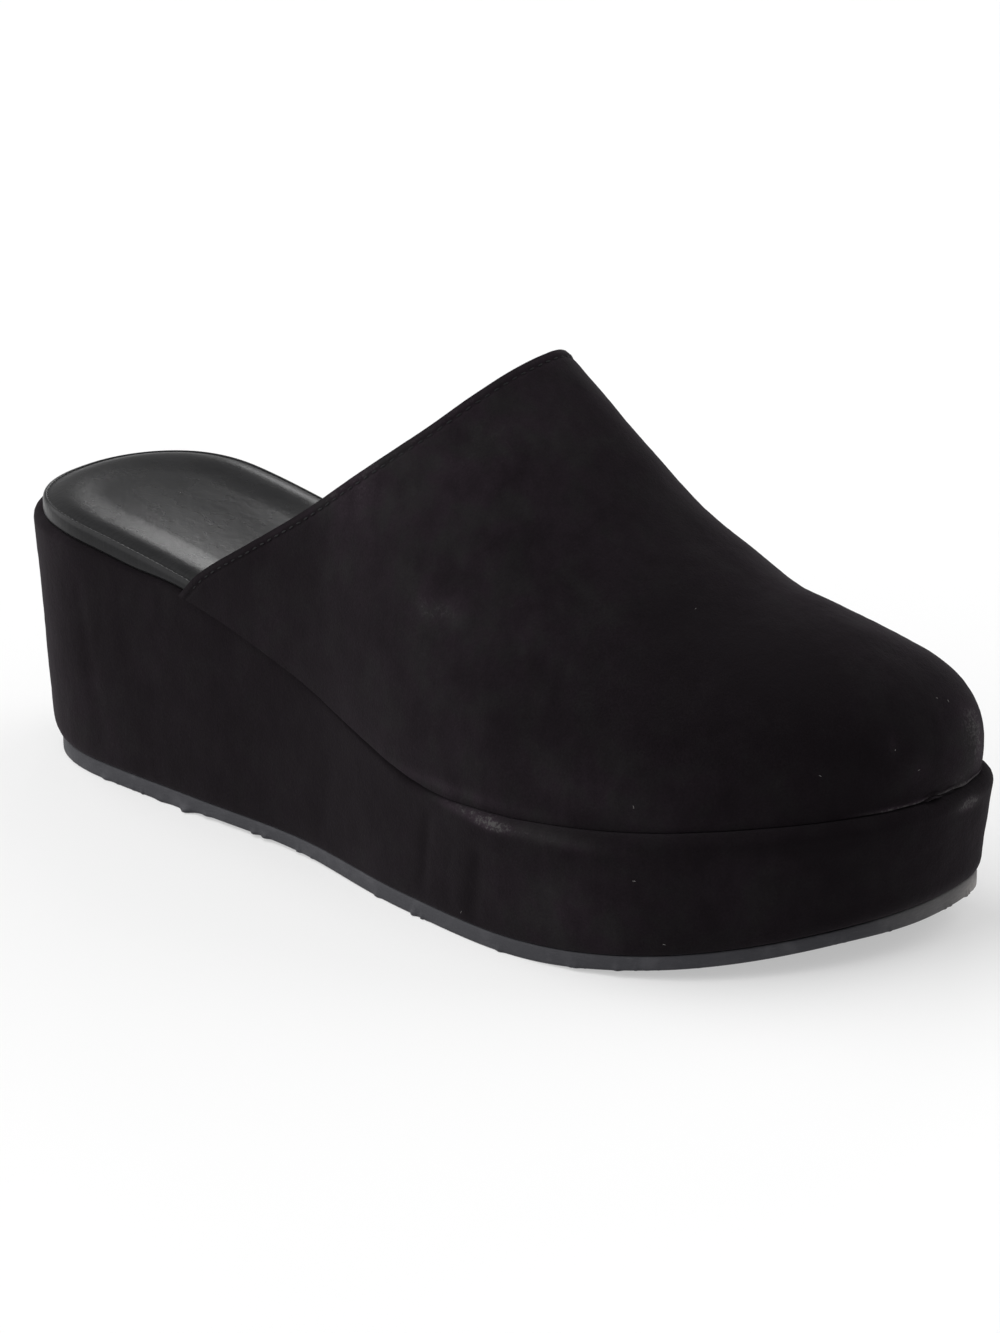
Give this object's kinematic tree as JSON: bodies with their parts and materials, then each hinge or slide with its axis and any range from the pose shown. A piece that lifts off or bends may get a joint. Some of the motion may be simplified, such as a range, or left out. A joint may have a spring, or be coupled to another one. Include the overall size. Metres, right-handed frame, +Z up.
{
  "type": "wedge mule",
  "caption": "Closed-toe slip-on clog mule with a slanted topline, a covered platform wedge, a padded leather insole and a thin rubber outsole.",
  "frame": {"origin": "on the floor, at the middle of the shoe's length and width", "axes": "+X from heel to toe, +Y towards the inner (big toe) side, +Z up"},
  "size_m": [0.25, 0.0944, 0.119],
  "materials": {
    "outsole_rubber": "dark grey moulded rubber with a cut edge",
    "wedge_suede": "black suede cover, dull nap, scuffed at its top edge",
    "insole_leather": "smooth black leather over padding, soft gloss",
    "upper_suede": "black suede, dull nap, stitched turned edge"
  },
  "bodies": {
    "root": {"outsole": "outsole_rubber", "wedge": "wedge_suede", "insole": "insole_leather", "upper": "upper_suede"}
  },
  "joints": []
}
